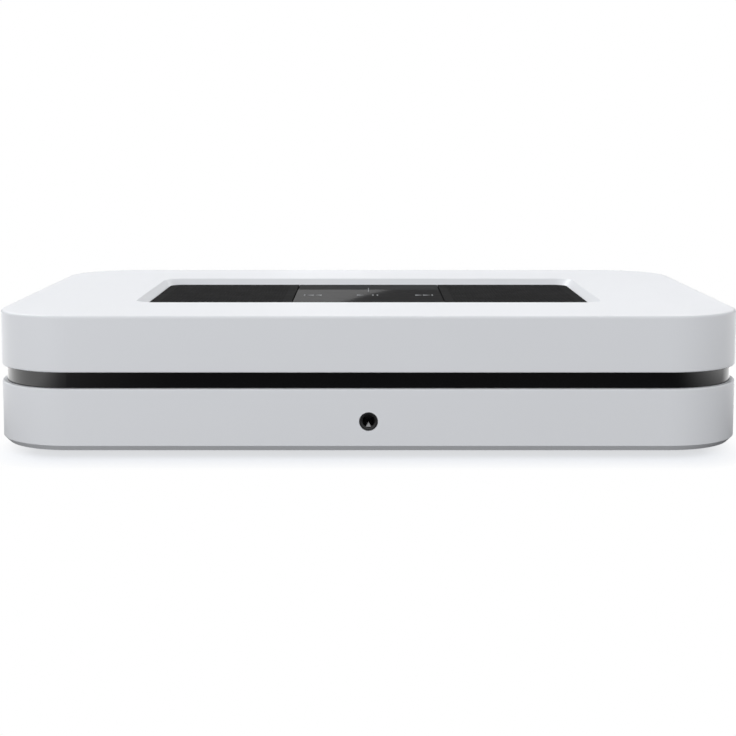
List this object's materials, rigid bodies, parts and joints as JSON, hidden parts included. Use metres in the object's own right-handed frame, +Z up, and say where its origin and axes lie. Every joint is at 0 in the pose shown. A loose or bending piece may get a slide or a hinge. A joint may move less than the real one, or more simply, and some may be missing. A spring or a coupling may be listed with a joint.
{
  "type": "network music streamer",
  "caption": "Low white tabletop network music streamer with a black waist band, a sunken touch panel between grilles, a front headphone jack and rear audio sockets.",
  "frame": {"origin": "under the middle of the whole object, on the plane that the feet stand on", "axes": "+X towards the right seen from the front, +Y towards the sockets behind, +Z up; the front faces -Y"},
  "size_m": [0.22, 0.1526, 0.0412],
  "materials": {
    "shell_white": "satin moulded, fine even texture",
    "band_black": "polished black",
    "grille_black": "matt perforated plate",
    "panel_gloss": "polished touch surface",
    "carrier_black": "matt moulded",
    "plate_steel": "zinc-plated sheet",
    "screw_steel": "zinc-plated",
    "screw_black": "black oxide",
    "standoff_brass": "turned",
    "board_green": "solder mask over glass fibre",
    "board_black": "black solder mask",
    "ribbon_white": "flat flexible strip",
    "connector_cream": "moulded",
    "panel_black": "fine matt texture",
    "socket_black": "moulded",
    "shutter_grey": "moulded",
    "ethernet_black": "moulded",
    "contact_gold": "gold-flashed",
    "pin_nickel": "nickel-plated",
    "port_steel": "nickel-plated sheet",
    "phono_plated": "nickel-plated, turned",
    "insulator_orange": "moulded",
    "insulator_black": "moulded",
    "insulator_red": "moulded",
    "insulator_white": "moulded",
    "foot_rubber": "matt pad",
    "heatsink_aluminium": "extruded, plain",
    "module_steel": "tinned can",
    "chip_black": "moulded epoxy",
    "capacitor_sleeve": "shrunk sleeve",
    "winding_tape": "tape over ferrite",
    "aerial_copper": "copper-clad strip",
    "lead_grey": "thin coaxial lead",
    "wire_red": "insulated wire"
  },
  "bodies": {
    "case": {"lower_shell": "shell_white", "upper_shell": "shell_white", "band_frame": "band_black", "grille_left": "grille_black", "grille_right": "grille_black", "touch_glass": "panel_gloss", "insert_carrier": "carrier_black", "chassis_plate": "plate_steel", "processor_shield": "plate_steel", "case_screws": "screw_steel", "board_screws": "screw_steel", "carrier_screws": "screw_steel", "panel_screws": "screw_black", "board_standoffs": "standoff_brass", "main_board": "board_green", "power_board": "board_green", "touch_board": "board_black", "ribbon_cable": "ribbon_white", "ribbon_sockets": "connector_cream", "rear_panel": "panel_black", "mains_inlet": "socket_black", "headphone_jack": "socket_black", "optical_in_jack": "socket_black", "trigger_jack": "socket_black", "remote_jack": "socket_black", "phono_housings": "socket_black", "usb_tongue": "socket_black", "video_tongue": "socket_black", "optical_out": "socket_black", "ethernet_jack": "ethernet_black", "ethernet_contacts": "contact_gold", "phono_contacts": "contact_gold", "inlet_pins": "pin_nickel", "usb_port": "port_steel", "video_port": "port_steel", "phono_coax": "phono_plated", "phono_sub": "phono_plated", "phono_right": "phono_plated", "phono_left": "phono_plated", "insulator_coax": "insulator_orange", "insulator_sub": "insulator_black", "insulator_right": "insulator_red", "insulator_left": "insulator_white", "foot_front_left": "foot_rubber", "foot_front_right": "foot_rubber", "foot_rear_left": "foot_rubber", "foot_rear_right": "foot_rubber", "processor_heatsink": "heatsink_aluminium", "radio_module": "module_steel", "audio_chips": "chip_black", "ir_receiver": "chip_black", "audio_capacitors": "capacitor_sleeve", "bulk_capacitor": "capacitor_sleeve", "output_capacitors": "capacitor_sleeve", "power_transformer": "winding_tape", "line_filter": "winding_tape", "aerials": "aerial_copper", "aerial_leads": "lead_grey", "power_harness": "wire_red"},
    "shutter": {"optical_shutter": "shutter_grey"}
  },
  "joints": [
    {"name": "optical_shutter_hinge", "type": "hinge", "parent": "case", "child": "shutter", "pos_m": [-0.00722, 0.0669, 0.01825], "axis": [-1, 0, 0], "range_deg": [0, 80], "stiffness_Nm_per_rad": 0.0005, "springref_deg": -17.19}
  ]
}
